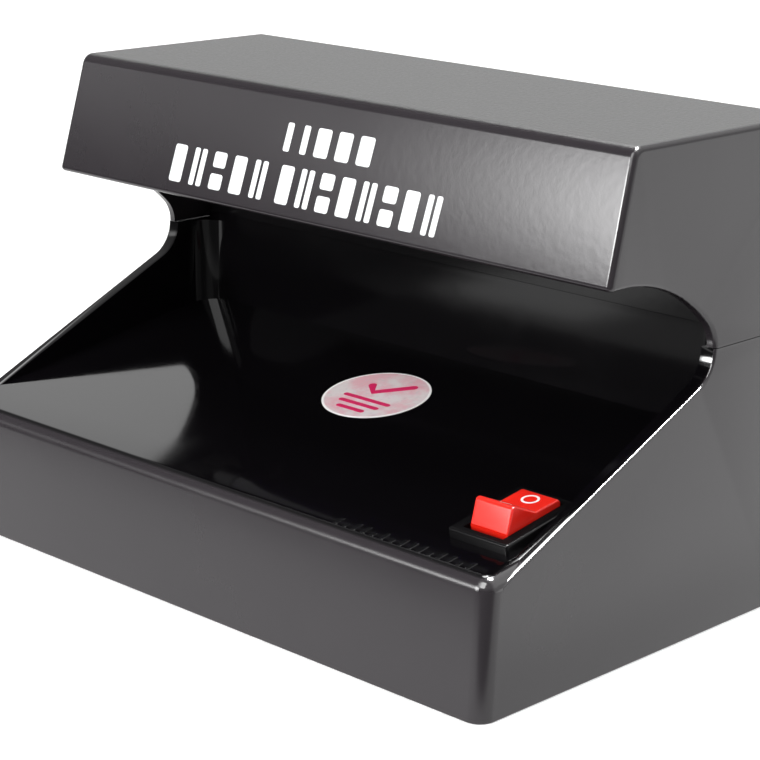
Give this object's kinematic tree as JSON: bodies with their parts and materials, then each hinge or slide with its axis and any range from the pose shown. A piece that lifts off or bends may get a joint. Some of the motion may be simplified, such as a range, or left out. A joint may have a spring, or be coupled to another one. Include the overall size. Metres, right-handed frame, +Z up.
{
  "type": "counterfeit bill detector",
  "caption": "Wedge-shaped shop-counter detector: a hooded ultraviolet lamp over a sloping bill deck, with a rocker switch and a mains cord.",
  "frame": {"origin": "centre of the case's underside rim, on the counter", "axes": "+X to the user's right, +Y to the rear, +Z up"},
  "size_m": [0.1624, 0.1535, 0.1028],
  "materials": {
    "case_plastic": "polished black styrene, finely textured top",
    "plate_plastic": "matt black",
    "foot_rubber": "matt",
    "screw_steel": "zinc plated",
    "divider_plastic": "gloss black",
    "reflector_aluminium": "bright rolled",
    "lamp_glass": "deep violet filter glass",
    "cap_aluminium": "pressed",
    "pin_brass": "drawn",
    "holder_plastic": "moulded white",
    "rotor_plastic": "moulded white",
    "board_laminate": "phenolic laminate",
    "ferrite": "sintered",
    "coil_tape": "yellow tape",
    "capacitor_sleeve": "shrink sleeve",
    "film_capacitor": "dipped epoxy",
    "component_epoxy": "moulded epoxy",
    "resistor_coat": "lacquered",
    "fuse_glass": "clear",
    "connector_plastic": "green nylon",
    "switch_black": "moulded nylon",
    "rocker_red": "gloss red",
    "plunger_plastic": "acetal",
    "spring_steel": "drawn wire",
    "contact_brass": "stamped",
    "sticker_paper": "printed film",
    "cord_rubber": "satin PVC",
    "plug_plastic": "moulded PVC",
    "pin_nickel": "nickel plated",
    "wire_brown": "PVC",
    "wire_blue": "PVC",
    "wire_white": "PVC"
  },
  "bodies": {
    "case": {"ballast_board": "board_laminate", "base_shell": "case_plastic", "board_connector": "connector_plastic", "board_diodes": "component_epoxy", "board_fuse": "fuse_glass", "board_resistors": "resistor_coat", "board_screws": "screw_steel", "bottom_plate": "plate_plastic", "bottom_screws": "screw_steel", "cord_bushing": "cord_rubber", "cord_leads": "wire_brown", "deck_sticker": "sticker_paper", "film_capacitors": "film_capacitor", "filter_capacitor": "capacitor_sleeve", "hood_screws": "screw_steel", "hood_shell": "case_plastic", "lamp_bay_divider": "divider_plastic", "lamp_holder_left": "holder_plastic", "lamp_holder_right": "holder_plastic", "lamp_leads": "wire_white", "lamp_reflector": "reflector_aluminium", "plug_body": "plug_plastic", "plug_pins": "pin_nickel", "power_cord": "cord_rubber", "power_transistors": "component_epoxy", "reflector_screws": "screw_steel", "rubber_feet": "foot_rubber", "switch_body": "switch_black", "switch_leads": "wire_blue", "switch_terminals": "contact_brass", "transformer_coil": "coil_tape", "transformer_core": "ferrite"},
    "rocker": {"switch_rocker": "rocker_red", "switch_spring": "spring_steel"},
    "plunger": {"switch_plunger": "plunger_plastic"},
    "contact_arm": {"switch_seesaw_contact": "contact_brass"},
    "lamp": {"uv_tube_glass": "lamp_glass", "tube_end_caps": "cap_aluminium", "tube_pins": "pin_brass", "holder_rotor_left": "rotor_plastic", "holder_rotor_right": "rotor_plastic"}
  },
  "joints": [
    {"name": "rocker_tilt", "type": "hinge", "parent": "case", "child": "rocker", "pos_m": [0.069, -0.02643, 0.02996], "axis": [1, 0, 0], "range_deg": [0, 32]},
    {"name": "contact_tilt", "type": "hinge", "parent": "case", "child": "contact_arm", "pos_m": [0.069, -0.02522, 0.02276], "axis": [1, 0, 0], "range_deg": [-16, 0]},
    {"name": "plunger_slide", "type": "slide", "parent": "rocker", "child": "plunger", "axis": [0, 0.1116, 0.9937], "range_m": [-0.0006, 0.0004], "deforming": ["switch_spring"]},
    {"name": "lamp_twist", "type": "hinge", "parent": "case", "child": "lamp", "pos_m": [0, 0.008, 0.0865], "axis": [1, 0, 0], "range_deg": [0, 90]}
  ],
  "couplings": [
    {"joint": "contact_tilt", "follows": "rocker_tilt", "ratio": -0.5}
  ]
}
